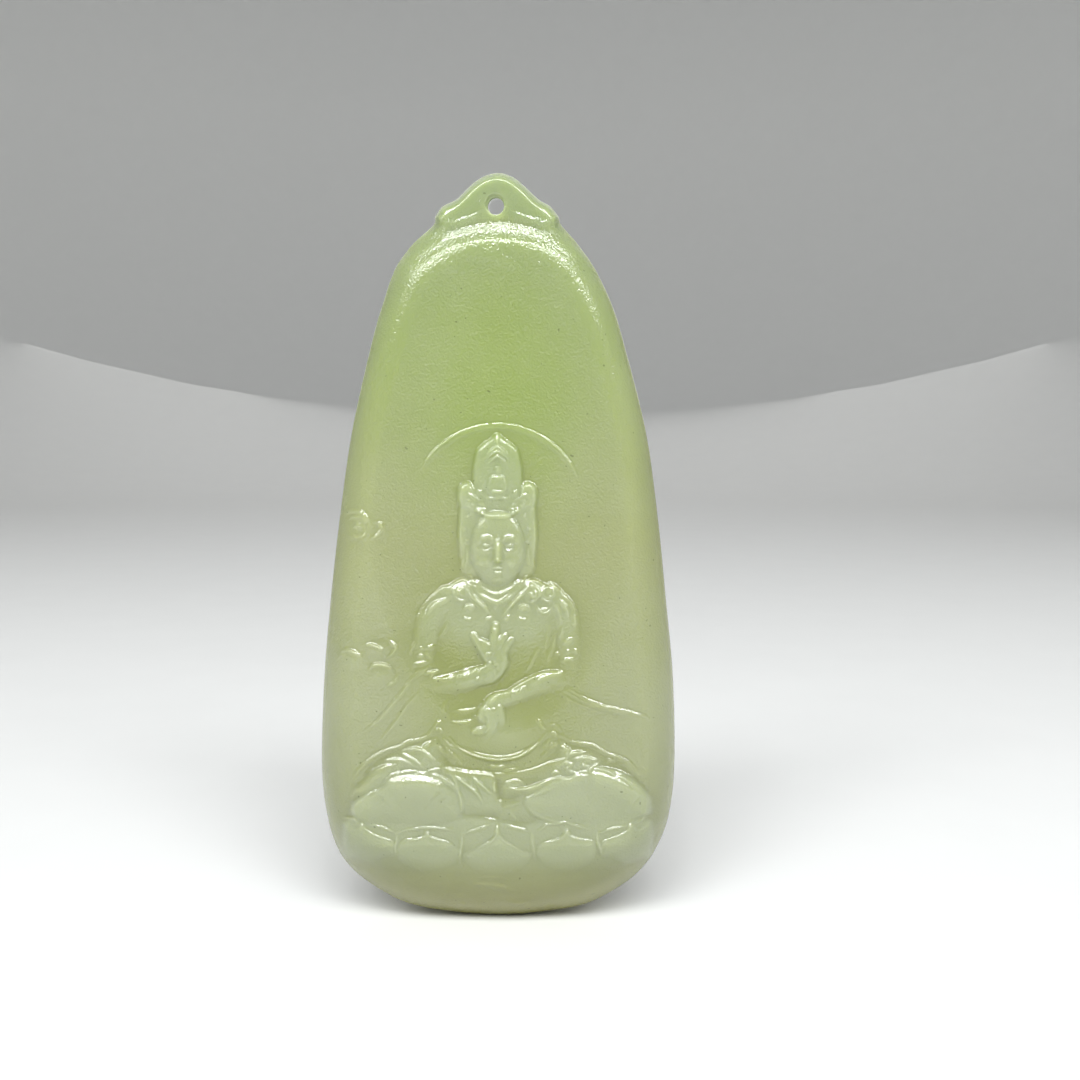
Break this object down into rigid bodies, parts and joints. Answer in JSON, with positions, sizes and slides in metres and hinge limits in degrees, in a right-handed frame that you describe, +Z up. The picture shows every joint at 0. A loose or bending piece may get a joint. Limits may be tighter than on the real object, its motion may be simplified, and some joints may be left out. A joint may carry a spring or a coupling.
{
  "type": "carved jade pendant",
  "caption": "Bell-shaped green jade plaque pendant with a pierced crest, carved in relief with a seated crowned figure on a lotus, with clouds and scarves.",
  "frame": {"origin": "centre of the cord hole, halfway through the crest", "axes": "+Z up as the pendant hangs, carved face towards -Y, +X to the right of someone facing the carving"},
  "size_m": [0.0436, 0.0122, 0.09],
  "materials": {
    "jade": "polished, translucent yellow-green"
  },
  "bodies": {
    "root": {"plaque": "jade", "crest": "jade", "halo": "jade", "head": "jade", "crown": "jade", "torso": "jade", "necklace": "jade", "right_arm": "jade", "left_arm": "jade", "right_hand": "jade", "left_hand": "jade", "waistband": "jade", "right_leg": "jade", "left_leg": "jade", "lotus_band": "jade", "lotus_petal_1": "jade", "lotus_petal_2": "jade", "lotus_petal_3": "jade", "lotus_petal_4": "jade", "lotus_petal_5": "jade", "right_scarf": "jade", "left_scarf": "jade", "upper_cloud": "jade", "lower_cloud": "jade"}
  },
  "joints": []
}
